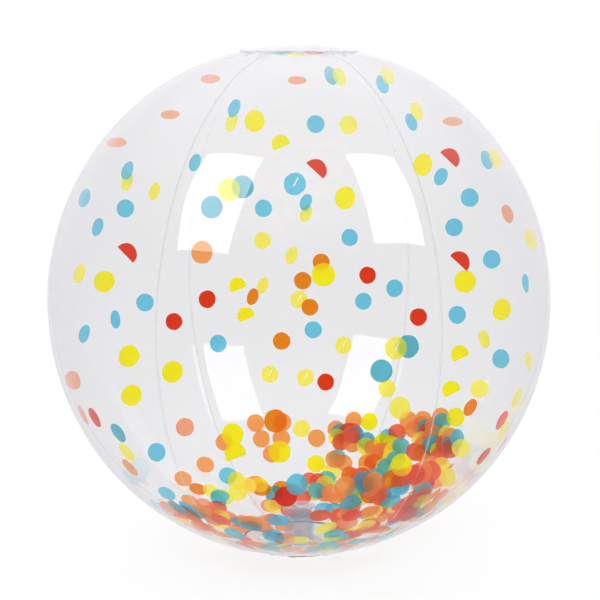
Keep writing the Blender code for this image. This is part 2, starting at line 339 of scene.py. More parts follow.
def confetti_material(name, colour, passed, solid):
    """Thin dyed film. Part of the light goes straight through and takes the dye, the rest scatters."""
    nodes = Nodes(bpy.data.materials.new(name))
    place = nodes.place()
    grain = nodes.add("ShaderNodeTexNoise", Vector=place, Scale=1500.0, Detail=3.0, Roughness=0.7)
    weave = nodes.add("ShaderNodeTexWave", {"bands_direction": "DIAGONAL"}, Vector=place, Scale=700.0,
                      Distortion=1.5)
    cloud = nodes.add("ShaderNodeTexNoise", Vector=place, Scale=90.0, Detail=2.0)
    texture = nodes.math("MULTIPLY_ADD", weave.outputs["Fac"], 0.3, nodes.math("MULTIPLY", grain, 0.7))
    deep = tuple(0.88 * part for part in colour)
    pale = tuple(min(1.0, 1.06 * part + 0.01) for part in colour)
    shade = nodes.mix_colour(nodes.ramp(texture, 0.25, 0.7, 0.0, 1.0), (*deep, 1), (*pale, 1))
    bump = nodes.add("ShaderNodeBump", Strength=0.2, Distance=0.00005, Height=texture)
    front = nodes.add("ShaderNodeBsdfDiffuse", Color=shade, Normal=bump)
    through = nodes.add("ShaderNodeBsdfTranslucent", Color=shade, Normal=bump)
    body = nodes.mix_shader(0.5, front, through)
    clear = nodes.add("ShaderNodeBsdfTransparent", Color=(*passed, 1))
    amount = nodes.ramp(cloud, 0.3, 0.7, solid - 0.04, solid + 0.04)
    film = nodes.mix_shader(amount, clear, body)
    gloss = nodes.add("ShaderNodeBsdfGlossy", Color=(1, 1, 1, 1), Roughness=0.3, Normal=bump)
    return nodes.finish(nodes.mix_shader(0.012, film, gloss))


# The pale rows are lighter copies of the dyes: painted reflection, the film's sheen laid over discs that lie
# further back.
CONFETTI_COLOURS = {            # dye where it scatters, what one face lets through, share that scatters
    "yellow": ((1.00, 0.91, 0.001), (1.00, 0.955, 0.04), 0.36),
    "pale_yellow": ((1.00, 0.91, 0.15), (1.00, 0.955, 0.43), 0.38),
    "blue": ((0.17, 0.51, 0.61), (0.37, 0.75, 0.83), 0.28),
    "pale_blue": ((0.20, 0.65, 0.80), (0.48, 0.83, 0.92), 0.42),
    "red": ((0.80, 0.052, 0.001), (0.92, 0.23, 0.015), 0.36),
    "pale_red": ((0.91, 0.20, 0.105), (0.96, 0.49, 0.35), 0.44),
    "orange": ((0.89, 0.30, 0.001), (0.94, 0.57, 0.015), 0.36),
    "pale_orange": ((0.94, 0.45, 0.15), (0.97, 0.69, 0.39), 0.44),
    "salmon": ((0.91, 0.46, 0.26), (0.96, 0.70, 0.54), 0.42),
}

FILM_MATERIAL = film_material("clear_film", (0.981, 0.980, 0.984), 0.0012, 0.0010)
WELD_MATERIAL = film_material("weld_film", (0.974, 0.973, 0.977), 0.012, 0.0010)
SEAM_MATERIAL = film_material("seam_line", (0.92, 0.92, 0.93), 0.20, 0.0004)
# the caps' rim beads are tinted dark: painted shade, the dark line that refraction and reflection draw round
# a rim; the lower one darker and warm
RIM_SHADE_MATERIAL = film_material("cap_edge_painted_shade", (0.84, 0.83, 0.85), 0.10, 0.0004, (0.62, 0.62, 0.66))
LOW_RIM_SHADE_MATERIAL = film_material("lower_cap_rim_painted_shade", (0.45, 0.33, 0.32), 0.42, 0.0004, (0.20, 0.10, 0.09))
CAP_MATERIAL = film_material("cap_film", (0.975, 0.974, 0.978), 0.006, 0.0020)
LOW_CAP_MATERIAL = film_material("lower_cap_film", (0.950, 0.935, 0.937), 0.012, 0.0020)
VALVE_MATERIAL = frosted_material("frosted_vinyl")
# near-white faces along a fold's ridge: a painted glint, standing in for the sheen a crease catches from the
# lights
CREASE_GLINT_MATERIAL = confetti_material("crease_painted_glint", (0.98, 0.97, 0.88), (0.98, 0.97, 0.90), 0.55)
CONFETTI_MATERIALS = {name: confetti_material(f"confetti_{name}", *values)
                      for name, values in CONFETTI_COLOURS.items()}


def slot_of(colour):
    """The record's slot for a confetti colour, pale or not."""
    return f"confetti_{colour.removeprefix('pale_')}"


# ---- The skin ----

PUCKER_WAVES = ((11, 0.4, 0.8), (19, 1.9, 1.0), (31, 4.1, 0.6), (47, 2.7, 0.35))


def pole_puckers(polar, azimuth):
    """Radial ripples where the gores are gathered under a cap."""
    from_pole = min(polar, math.pi - polar)
    fade = math.exp(-((from_pole - GORE_TIP) / math.radians(9)) ** 2)
    side = 0.0 if polar < math.pi / 2 else 2.2
    return PUCKER * fade * sum(size * math.cos(count * azimuth + phase + side)
                               for count, phase, size in PUCKER_WAVES)


def seam_relief(polar, from_seam, azimuth):
    """The valley along a weld, with the small ripples that welding leaves."""
    valley = -SEAM_VALLEY * math.exp(-(from_seam / SEAM_VALLEY_WIDTH) ** 2)
    along = RADIUS * polar
    ripple = noise.noise(Vector((along * 95, azimuth * 3, 1.7)))
    return valley + SEAM_RIPPLE * ripple * math.exp(-(from_seam / SEAM_RIPPLE_WIDTH) ** 2)


def skin_relief(polar, local, azimuth):
    """How far the film stands out from the plain surface. local is the azimuth from a gore's middle."""
    from_seam = (0.5 * SECTOR - abs(local)) * RADIUS * math.sin(polar)
    swell = GORE_BULGE * math.sin(polar) ** 2 * math.cos(local * math.pi / SECTOR)
    sway = SWAY * noise.noise(on_skin(polar, azimuth, 0) * 22)
    return swell + sway + seam_relief(polar, from_seam, azimuth) + pole_puckers(polar, azimuth)


GORE_ROWS = 110
FILM_COLUMNS = 26
SEAM_LINE = 0.00048             # each gore's half of the milky line in the middle of a weld
WELD_SHOULDER = 0.0006          # over which a weld's sheet thins to the film
WELD_STEP = 0.00003             # how far a weld stands out
WELD_SHEET = 0.00036            # a weld's thickness


def gore_columns(polar):
    """(local azimuth, outward step, thickness) across a gore: welds at both edges, film between."""
    ring_radius = RADIUS * math.sin(polar)
    half = 0.5 * SECTOR - 0.5 * SEAM_GAP / ring_radius
    line = half - SEAM_LINE / ring_radius
    weld = half - WELD_WIDTH / ring_radius
    film = weld - WELD_SHOULDER / ring_radius
    columns = [(-half, WELD_STEP, WELD_SHEET), (-line, WELD_STEP, WELD_SHEET),
               (-weld, WELD_STEP, WELD_SHEET)]
    for column in range(FILM_COLUMNS + 1):
        share = 2 * column / FILM_COLUMNS - 1
        eased = math.copysign(1 - (1 - abs(share)) ** 1.35, share)
        columns.append((film * eased, 0.0, FILM))
    return columns + [(-local, step, thickness) for local, step, thickness in columns[2::-1]]


def build_gore(node, middle):
    outer, inner = [], []
    for row in range(GORE_ROWS + 1):
        polar = GORE_TIP + (math.pi - 2 * GORE_TIP) * row / GORE_ROWS
        outer_row, inner_row = [], []
        for local, step, thickness in gore_columns(polar):
            azimuth = middle + local
            offset = skin_relief(polar, local, azimuth) + step
            outer_row.append(on_skin(polar, azimuth, offset))
            inner_row.append(on_skin(polar, azimuth, offset - thickness))
        outer.append(outer_row)
        inner.append(inner_row)
    slots = [2, 1, 1] + [0] * FILM_COLUMNS + [1, 1, 2]
    builder = closed_sheet(outer, inner, slots)
    return add_piece(f"{node}_film", builder, [FILM_MATERIAL, WELD_MATERIAL, SEAM_MATERIAL], "ball",
                     "film", node)


def build_gores():
    names = ("front", "front_right", "back_right", "back", "back_left", "front_left")
    for index, name in enumerate(names):
        build_gore(f"gore_{name}", SECTOR * index)


RIM_WAVE = 0.00022
CAP_SIDES = 144
CAP_RINGS = 30
CREASES = ((10, 0.004, 0.9), (62, -0.011, 0.7), (118, 0.013, 0.8), (151, -0.006, 1.0), (95, 0.022, 0.6))
CAP_CREASE = 0.00042
CAP_CREASE_WIDTH = 0.0021
CAP_SWAY = 0.0004
CAP_WELD_FROM = 0.915           # share of the radius where the rim's weld ring begins
CAP_WELD_EXTRA = 0.00022


def cap_relief(radius, azimuth, rim_radius):
    """Folds across a cap and the scalloped rim that its round weld leaves."""
    point = around(radius, azimuth, 0)
    relief = 0.0
    for turn, reach, size in CREASES:
        across = direction(turn, 0).dot(point) - reach
        relief += CAP_CREASE * size * math.exp(-(across / CAP_CREASE_WIDTH) ** 2)
    share = radius / rim_radius
    ripple = sum(size * math.cos(count * azimuth + phase) for count, phase, size in PUCKER_WAVES)
    sway = CAP_SWAY * noise.noise(point * 60) * (1 - share ** 4)
    return relief * (1 - share ** 6) + sway + RIM_WAVE * ripple * share ** 6


CAP_BEAD = 0.0005               # the rim's outermost edge stands up in a bead


def cap_thickness(share):
    return FILM + CAP_WELD_EXTRA * (share > CAP_WELD_FROM)


def cap_bead(share):
    return CAP_BEAD * max(0.0, 1 - ((share - 0.985) / 0.018) ** 2)


def cap_rise(radius):
    return (POLAR_RADIUS + CAP_OUT) * math.sqrt(1 - (radius / (RADIUS + CAP_OUT)) ** 2)


def top_cap_height(radius):
    return CENTRE_Z + cap_rise(radius) - pole_dip(radius)


def bottom_cap_height(radius):
    """The lower cap, eased into the flat patch that rests on the floor."""
    drop = CENTRE_Z - cap_rise(radius)
    return 0.5 * (drop + math.hypot(drop, 0.0002))


def cap_rows(hole, rim, height, outward, relief_scale):
    """Rings of outer and inner points from the middle, or a hole, to the rim."""
    outer, inner = [], []
    shares = [1 - (1 - ring / CAP_RINGS) ** 1.35 for ring in range(CAP_RINGS + 1)]
    for share in shares:
        radius = hole + (rim - hole) * share
        outer_row, inner_row = [], []
        for side in range(CAP_SIDES):
            azimuth = 2 * math.pi * side / CAP_SIDES
            relief = relief_scale(radius) * cap_relief(radius, azimuth, rim)
            surface = height(radius) + outward * (relief + cap_bead(share))
            outer_row.append(around(radius, azimuth, surface))
            under = cap_thickness(share) + cap_bead(share)
            inner_row.append(around(radius, azimuth, surface - outward * under))
        outer.append(outer_row)
        inner.append(inner_row)
    return outer, inner


def cap_slot(ring):
    """Film, then the weld ring, then its bead, which takes the dark painted shade."""
    if ring >= CAP_RINGS - 3:
        return 2
    return 1 if ring >= CAP_RINGS - 6 else 0


def build_cap(node, hole, height, outward, relief_scale):
    rim = (RADIUS + CAP_OUT) * math.sin(CAP_RIM)
    outer, inner = cap_rows(max(hole, 0.0004), rim, height, outward, relief_scale)
    builder = bmesh.new()
    grids = [[[builder.verts.new(point) for point in row] for row in rows] for rows in (outer, inner)]
    for grid in grids:
        for ring, (row, next_row) in enumerate(zip(grid, grid[1:])):
            bridge(builder, row, next_row, cap_slot(ring))
    bridge(builder, grids[0][-1], grids[1][-1])
    if hole:
        bridge(builder, grids[0][0], grids[1][0])
    else:
        builder.faces.new(grids[0][0])
        builder.faces.new(grids[1][0])
    # the last slot is the rim bead's painted shade
    materials = [CAP_MATERIAL, WELD_MATERIAL, RIM_SHADE_MATERIAL]
    if outward < 0:
        materials = [LOW_CAP_MATERIAL, WELD_MATERIAL, LOW_RIM_SHADE_MATERIAL]
    return add_piece(f"{node}_film", builder, materials, "ball", "film", node)


def build_caps():
    build_cap("top_cap", 0, top_cap_height, 1, lambda radius: 1.0)
    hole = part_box("valve_stem")[1].x - 0.0011
    build_cap("bottom_cap", hole, bottom_cap_height, -1,
              lambda radius: min(1.0, max(0.0, (radius - PATCH_RADIUS) / 0.008)))


# ---- The valve ----

VALVE_SIDES = 64                # round each turned moulding
STEM_LOW, STEM_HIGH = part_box("valve_stem")
PLUG_LOW, PLUG_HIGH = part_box("valve_plug")
STEM_RING = STEM_HIGH.x
STEM_RADIUS = STEM_RING - 0.0014
STEM_BORE = STEM_RADIUS - 0.0016
MOUTH_RADIUS = 0.0045


def add_moulding(part, profile, rounding, body):
    builder = turned(rounded(profile, rounding), VALVE_SIDES)
    add_piece(f"{part}_moulding", builder, [VALVE_MATERIAL], body, "valve_vinyl", part)


def build_stem():
    """The tube, with its inner ring and the end wall round the mouth."""
    low, high = STEM_LOW.z, STEM_HIGH.z
    wall_low = low + 0.0018
    wall_high = wall_low + 0.0012
    ring_low = high - 0.0025
    profile = [(STEM_RADIUS, low), (STEM_RADIUS, ring_low), (STEM_RING, ring_low), (STEM_RING, high),
               (STEM_BORE + 0.0006, high), (STEM_BORE, high - 0.0008), (STEM_BORE, wall_high),
               (MOUTH_RADIUS, wall_high), (MOUTH_RADIUS, wall_low), (STEM_BORE, wall_low),
               (STEM_BORE, low)]
    add_moulding("valve_stem", profile, 0.0005, "stem")


def build_flange():
    low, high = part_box("valve_flange")
    bore = STEM_RADIUS + GAP
    profile = [(high.x, low.z), (high.x - 0.0006, high.z), (bore, high.z), (bore, low.z)]
    add_moulding("valve_flange", profile, 0.0003, "ball")


def build_plug():
    """A dished head, and a hollow shank with a tapered end."""
    low, high = PLUG_LOW.z, PLUG_HIGH.z
    head = PLUG_HIGH.x
    shank = MOUTH_RADIUS - GAP
    head_top = low + 0.0012
    profile = [(0, low + 0.0005), (0.6 * head, low + 0.0005), (0.7 * head, low), (head, low),
               (head, head_top), (shank, head_top), (shank, high - 0.0030), (0.75 * shank, high),
               (0.4 * shank, high), (0.4 * shank, head_top + 0.001), (0, head_top + 0.001)]
    add_moulding("valve_plug", profile, 0.0004, "plug")


def build_tether():
    """The curled strap from the stem's recess to the plug's head."""
    low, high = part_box("valve_tether")
    middle = 0.5 * (PLUG_HIGH.x + STEM_BORE * math.cos(math.pi / 24))
    sweep = math.radians(150)
    steps = 60
    rows = {"outer": [], "inner": []}
    for step in range(steps + 1):
        azimuth = sweep * (step / steps - 0.5)
        swell = 0.00012 * math.cos(4 * math.pi * step / steps)
        for name, side in (("outer", 0.0005 + swell), ("inner", -0.0005 - swell)):
            rows[name].append([around(middle + side, azimuth, low.z + (high.z - low.z) * share)
                               for share in (0, 0.5, 1)])
    builder = closed_sheet(rows["outer"], rows["inner"], [0, 0])
    tether = add_piece("valve_tether_strap", builder, [VALVE_MATERIAL], None, "valve_vinyl", "valve_tether")
    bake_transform(tether)


def build_flap():
    """A soft disc with a raised rim bead, hinged at the back."""
    low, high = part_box("valve_flap")
    radius = high.x
    profile = [(0, low.z), (radius, low.z), (radius, high.z), (0.86 * radius, high.z),
               (0.82 * radius, low.z + 0.00035), (0, low.z + 0.00035)]
    add_moulding("valve_flap", profile, 0.0002, "flap")


# ---- Confetti that clings to the wall ----

def round_outline(sides=32):
    return [(math.cos(2 * math.pi * side / sides), math.sin(2 * math.pi * side / sides))
            for side in range(sides)]


def cut_outline(start, end, steps=24):
    """A disc cut straight across from one rim angle to the other, in degrees."""
    arc = [math.radians(start + (end - start) * step / steps) for step in range(steps + 1)]
    points = [(math.cos(angle), math.sin(angle)) for angle in arc]
    first, last = points[-1], points[0]
    chord = [(first[0] + (last[0] - first[0]) * share, first[1] + (last[1] - first[1]) * share)
             for share in (0.2, 0.4, 0.6, 0.8)]
    return points + chord


OUTLINES = {
    "round": round_outline(),
    "half": cut_outline(-48, 142),
    "drop": cut_outline(-3, 229),
}
DISC_RINGS = (0.4, 0.75, 1.0)


class Flake:
    """How one disc differs from the next: its size, a lumpy rim, and how it is bent."""

    def __init__(self, generator, bend=0.0005):
        self.radius = DISC_RADIUS * generator.uniform(0.97, 1.02)
        self.bend = generator.uniform(0, bend)
        self.bend_turn = generator.uniform(0, math.pi)
        self.lumps = [(count, generator.uniform(0.004, 0.013), generator.uniform(0, 2 * math.pi))
                      for count in (2, 3, 5)]

    def point(self, x, y):
        """Place in the disc's own plane and height above it, for a point of the unit disc."""
        angle = math.atan2(y, x)
        swell = 1 + sum(size * math.cos(count * angle + phase) for count, size, phase in self.lumps)
        along = x * math.cos(self.bend_turn) + y * math.sin(self.bend_turn)
        return x * swell * self.radius, y * swell * self.radius, self.bend * along ** 2


def disc_axes(face):
    """Axes across and up in a disc's plane, with up as near to +Z as it can be."""
    across = face.cross(Vector((0, 0, 1)))
    across = across.normalized() if across.length > 1e-4 else Vector((1, 0, 0))
    if across.x < 0:
        across = -across
    up = across.cross(face)
    return (across, up) if up.z >= 0 else (across, -up)


def add_disc(builder, centre, face, outline, flake):
    """Add one closed film disc to a mesh."""
    across, up = disc_axes(face)
    middle_x = sum(point[0] for point in outline) / len(outline)
    middle_y = sum(point[1] for point in outline) / len(outline)

    def place(share, x, y, lift):
        x, y, height = flake.point(middle_x + (x - middle_x) * share, middle_y + (y - middle_y) * share)
        return centre + across * x + up * y + face * (height + lift)

    rims = []
    for lift in DISC_SKINS:
        hub = builder.verts.new(place(0, 0, 0, lift))
        rings = [[builder.verts.new(place(share, x, y, lift)) for x, y in outline]
                 for share in DISC_RINGS]
        rims.append(rings[-1])
        bridge(builder, [hub] * len(outline), rings[0])
        for ring, next_ring in zip(rings, rings[1:]):
            bridge(builder, ring, next_ring)
    bridge(builder, *rims)


CREASE_ACROSS = (-0.98, -0.7, -0.35, -0.2, -0.13, -0.06, 0, 0.06, 0.13, 0.2, 0.35, 0.7, 0.98)
CREASE_ALONG = [step / 8 - 1 for step in range(17)]
CREASE_HEIGHT = 0.00042
CREASE_WIDTH = 0.12             # in disc radii
CREASE_TURN = math.radians(62)  # a crease runs from low left to high right


def on_glint_ridge(row, column):
    """Whether a face of a creased disc lies on the ridge that carries the painted glint."""
    return abs(CREASE_ACROSS[column] + CREASE_ACROSS[column + 1]) < 0.1 and -0.3 < CREASE_ALONG[row] < 0.6


def add_creased_disc(builder, centre, face, flake):
    """Add a round disc with a fold pressed across it, and a painted glint along the fold's ridge."""
    across, up = disc_axes(face)
    skins = []
    for lift in DISC_SKINS:
        rows = []
        for share in CREASE_ALONG:
            row = []
            for off_crease in CREASE_ACROSS:
                along = share * math.sqrt(1 - off_crease ** 2)
                x = along * math.cos(CREASE_TURN) - off_crease * math.sin(CREASE_TURN)
                y = along * math.sin(CREASE_TURN) + off_crease * math.cos(CREASE_TURN)
                x, y, height = flake.point(x, y)
                height += CREASE_HEIGHT * (1 - along ** 4) * math.exp(-(off_crease / CREASE_WIDTH) ** 2)
                row.append(centre + across * x + up * y + face * (height + lift))
            rows.append(row)
        skins.append(rows)
    columns = len(CREASE_ACROSS) - 1
    crease = closed_sheet(skins[0], skins[1], [0] * columns)
    for index, sheet_face in enumerate(crease.faces):
        row, column = divmod(index // 2, columns)
        # faces on the ridge take the painted glint
        if row < len(CREASE_ALONG) - 1 and on_glint_ridge(row, column):
            sheet_face.material_index = 1
    mesh = bpy.data.meshes.new("crease")
    crease.to_mesh(mesh)
    crease.free()
    builder.from_mesh(mesh)
    bpy.data.meshes.remove(mesh)


def add_shape(builder, centre, face, shape, flake):
    if shape == "creased":
        add_creased_disc(builder, centre, face, flake)
    else:
        add_disc(builder, centre, face, OUTLINES[shape], flake)


def add_confetti(name, builder, colour, body, slot, *nodes):
    # the second slot is the painted glint on a crease
    materials = [CONFETTI_MATERIALS[colour], CREASE_GLINT_MATERIAL]
    return add_piece(name, builder, materials, body, slot, *nodes)


FULL_COLOUR_DISCS = {                  # the numbers of the modelled discs that keep the full colour; the rest take the pale copy, a painted reflection
    "yellow": range(1, 11),
    "blue": range(2, 6),
    "red": range(1, 5),
    "orange": range(1, 4),
}
CREASED_DISCS = ("confetti_blue_01", "confetti_yellow_12", "confetti_yellow_16")


def disc_place(node):
    """Centre and face of a modelled disc, from its own mesh. The face points to the front."""
    points = np.array([vertex.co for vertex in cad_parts[node].data.vertices], float)
    centre = points.mean(0)
    face = Vector(np.linalg.svd(points - centre)[2][2])
    return Vector(centre), -face if face.y > 0 else face


def build_modelled_discs(generator):
    """A finer disc for each disc that the model holds."""
    nodes = sorted(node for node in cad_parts
                   if node.startswith("confetti_") and node != "confetti_heap")
    for node in nodes:
        _, colour, number = node.split("_")
        shade = colour
        # the other discs take the pale copy, lightened as painted reflection
        if colour != "salmon" and int(number) not in FULL_COLOUR_DISCS[colour]:
            shade = f"pale_{colour}"
        centre, face = disc_place(node)
        builder = bmesh.new()
        shape = "creased" if node in CREASED_DISCS else "round"
        add_shape(builder, centre, face, shape, Flake(generator))
        piece = add_confetti(f"{node}_flake", builder, shade, "ball", slot_of(colour), node)
        piece.visible_glossy = False


ATTITUDES = {                   # azimuth and elevation of a disc's face, in degrees
    "upright": (0, 9),
    "rising": (-50, 20),
    "falling": (50, 20),
    "edge": (65, 9),
}

CLINGING = [                    # colour, attitude, shape, layers off the wall, (azimuth, latitude)
    ("pale_yellow", "upright", "creased", 0, [(167, -21)]),
    ("yellow", "upright", "drop", 0, [(-174, 36), (-163, -5), (-165, -13), (128, -20)]),
    ("yellow", "upright", "round", 0, [(-14.8, -19.7)]),
    ("pale_yellow", "rising", "round", 0, [(-178, 3), (-106, 4), (-170, -5)]),
    ("pale_yellow", "rising", "round", 1, [(-154, 45), (-120, 27), (178, 15)]),
    ("pale_yellow", "falling", "round", 0, [(93, 14), (119.5, -14.7)]),
    ("pale_yellow", "falling", "round", 1, [(153, 67), (99, 68), (126, 50), (86, 36)]),
    ("pale_yellow", "edge", "round", 0, [(92, -15.2)]),
    ("pale_yellow", "flat", "round", 0, [(60, -17), (-177, 76)]),
    ("pale_blue", "upright", "round", 0, [(133, 13), (119, 6), (153, -5), (162, -9), (176, -17)]),
    ("pale_blue", "rising", "round", 0,
     [(-113, 15), (-106, -11), (134, 27), (-146, 31), (-153, 50), (-119, 30), (178, 18)]),
    ("pale_blue", "falling", "round", 0, [(160, 66), (132, 61), (135, 45), (105, 34)]),
    ("pale_blue", "edge", "round", 0, [(-124, -10), (103, 2)]),
    ("pale_blue", "flat", "round", 0, [(-159, 79)]),
    ("red", "upright", "half", 0, [(-41.6, 16.4), (4.2, 36.2), (46, 38), (37, 15)]),
    ("pale_red", "flat", "round", 0, [(55.5, -21.5), (161, 79)]),
    ("orange", "upright", "round", 0, [(179, -4), (177, -11)]),
    ("orange", "rising", "round", 0, [(-167, -8)]),
    ("salmon", "falling", "round", 0, [(107, 19), (-87, -19)]),
]


def disc_face(attitude, azimuth, latitude):
    """Unit vector square to a disc. Upright discs turn towards the wall where they hang at the side."""
    if attitude == "flat":
        return wall_normal(math.radians(90 - latitude), math.radians(azimuth))
    face_azimuth, elevation = ATTITUDES[attitude]
    if attitude == "upright":
        turn = math.radians(azimuth)
        face_azimuth += TURN_TO_WALL * math.sin(turn) + TURN_SWAY * math.sin(5 * turn)
    return direction(face_azimuth, elevation)


def edge_on_wall(azimuth, latitude, face, layer):
    """Centre of a disc that touches the wall with the nearest point of its rim."""
    polar, turn = math.radians(90 - latitude), math.radians(azimuth)
    lean = math.sqrt(max(0.0, 1 - face.dot(wall_normal(polar, turn)) ** 2))
    return on_skin(polar, turn, -(FILM + DISC_OFF_WALL + DISC_LAYER * layer + DISC_RADIUS * lean))


def build_other_discs(generator):
    """The rest of the clinging discs, one piece for each colour."""
    builders = {colour: bmesh.new() for colour in CONFETTI_MATERIALS}
    for colour, attitude, shape, layer, places in CLINGING:
        for azimuth, latitude in places:
            face = disc_face(attitude, azimuth, latitude)
            centre = edge_on_wall(azimuth, latitude, face, layer)
            add_shape(builders[colour], centre, face, shape, Flake(generator))
    for colour, builder in builders.items():
        if not builder.faces:
            builder.free()
            continue
        piece = add_confetti(f"clinging_confetti_{colour}", builder, colour, "ball", slot_of(colour))
        piece.visible_glossy = False


# ---- Loose confetti ----

WALL_CLEARANCE = 0.0011         # from the film's plain inner face to a loose disc's rim
FLOOR_CLEARANCE = 0.0026        # above the lower cap and the valve's flange
VALVE_CLEARANCE = 0.0131        # from the valve's axis
SETTLE_STEP = 0.0007
SETTLE_STEPS = 18
SETTLE_RISE = 0.005             # how much higher than its place on the wall a disc may end up
JOSTLE = 0.12
PARALLEL = 0.02                 # sine of the angle that still counts as parallel
PARALLEL_APART = 0.00045
RIM_ALLOWANCE = 1.03            # for the lumps in a rim

PLACED = [                      # colour, shape, how upright, (azimuth, latitude) of the discs that stand out
    ("pale_yellow", "creased", 1.0, [(178, -30), (-171, -29)]),
    ("pale_blue", "round", 1.0, [(124, -38.3)]),
    ("pale_yellow", "round", 1.0, [(151, -32), (179, -45), (-144, -61), (104, -46), (93, -50)]),
    ("pale_yellow", "round", 0.45, [(116, -27)]),
    ("pale_yellow", "round", 0.0, [(-47, -28), (22, -48), (0, -54), (60, -25)]),
    ("yellow", "round", 1.0, [(-4.4, -23.6), (141, -48), (119, -36), (26, -29), (154, -42)]),
    ("yellow", "round", 0.5, [(172, -56)]),
    ("yellow", "drop", 1.0, [(-14.9, -24.6), (127, -29.5), (116, -46)]),
    ("pale_blue", "round", 1.0, [(-114, -46), (144, -46), (-0.5, -33)]),
    ("pale_blue", "round", 0.4, [(-143, -58), (165, -61)]),
    ("pale_blue", "round", 0.0, [(-6, -44), (12, -51), (-9, -53), (26, -39), (-40, -44), (14, -38)]),
    ("blue", "round", 0.0, [(-47, -23)]),
    ("blue", "round", 1.0, [(152, -48)]),
    ("red", "round", 0.0, [(-56, -21), (55.5, -31)]),
    ("red", "round", 0.6, [(-3.5, -36.5)]),
    ("pale_red", "round", 1.0, [(159, -45.5), (163, -49), (128, -42), (37, -33)]),
    ("pale_red", "round", 0.0, [(-25, -46), (6, -42), (23, -51), (69, -31)]),
    ("pale_orange", "round", 1.0,
     [(-164, -43), (-174, -43), (-165, -48), (-173, -48), (-168, -53), (160, -42), (166, -45),
      (173, -48), (-149, -48), (139, -40), (133, -39), (126, -37), (148, -50)]),
    ("pale_orange", "round", 0.3, [(-136, -53), (-118, -55)]),
    ("pale_orange", "round", 0.0, [(-30, -43), (-14, -45), (-50, -33), (14, -42)]),
    ("orange", "round", 0.6, [(19.5, -36.5)]),
    ("orange", "round", 0.0, [(118, -32)]),
    ("salmon", "round", 0.7, [(-136, -41.5)]),
    ("salmon", "round", 0.0, [(-64, -22)]),
    ("red", "round", 1.0, [(171.6, -31.2)]),
    ("pale_yellow", "round", 0.5, [(106, -42.5)]),
]

MIXED = (("orange", 0.06), ("pale_orange", 0.21), ("pale_red", 0.19), ("red", 0.02), ("pale_blue", 0.21),
         ("blue", 0.02), ("yellow", 0.06), ("pale_yellow", 0.13), ("salmon", 0.10))
WARM = (("pale_red", 0.34), ("pale_orange", 0.30), ("orange", 0.06), ("pale_yellow", 0.10),
        ("pale_blue", 0.20))
SUNNY = (("yellow", 0.45), ("pale_yellow", 0.25), ("pale_orange", 0.20), ("pale_red", 0.10))
COOL = (("pale_blue", 0.60), ("pale_red", 0.12), ("pale_yellow", 0.16), ("pale_orange", 0.12))

SCOOPS = [                      # discs, azimuth, latitude, spread across and up, how upright, colours
    (6, 162, -47, 4, 2.5, 0.9, WARM),
    (27, 122, -43, 9, 4, 0.85, WARM),
    (10, 143, -50, 4, 3, 0.85, SUNNY),
    (10, 134, -54, 6, 3, 0.7, COOL),
    (11, 154, -56, 9, 3, 0.6, WARM),
    (9, 172, -64, 8, 3, 0.5, COOL),
    (18, 108, -54, 9, 4, 0.4, MIXED),
    (16, 20, -35, 8, 3, 0.6, WARM),
    (14, 14, -46, 14, 5, 0.05, MIXED),
    (15, 37, -44, 9, 5, 0.05, MIXED),
    (12, -12, -49, 12, 4, 0.05, MIXED),
    (12, -34, -47, 9, 4, 0.05, MIXED),
    (6, -124, -62, 10, 3, 0.15, MIXED),
    (5, -148, -64, 10, 2.5, 0.3, MIXED),
    (9, -80, -58, 16, 5, 0.0, MIXED),
    (8, 82, -52, 12, 5, 0.05, MIXED),
    (22, 180, -70, 60, 4, 0.1, MIXED),
]
BED_DISCS = 100                 # spread over the bottom of the bowl
BED_REACH = math.radians(27)


def wall_gap(point):
    """How far a point lies inside the film's plain outer face, near enough."""
    level = math.sqrt((point.x ** 2 + point.y ** 2) / RADIUS ** 2
                      + (point.z - CENTRE_Z) ** 2 / POLAR_RADIUS ** 2)
    return (1 - level) * RADIUS


def keeps_clear_of_ball(centre, face, radius):
    across, up = disc_axes(face)
    for side in range(16):
        angle = 2 * math.pi * side / 16
        rim = centre + across * radius * math.cos(angle) + up * radius * math.sin(angle)
        if wall_gap(rim) < FILM + WALL_CLEARANCE or rim.z < FLOOR_CLEARANCE:
            return False
        if math.hypot(rim.x, rim.y) < VALVE_CLEARANCE:
            return False
    return math.hypot(centre.x, centre.y) > VALVE_CLEARANCE + 0.3 * radius


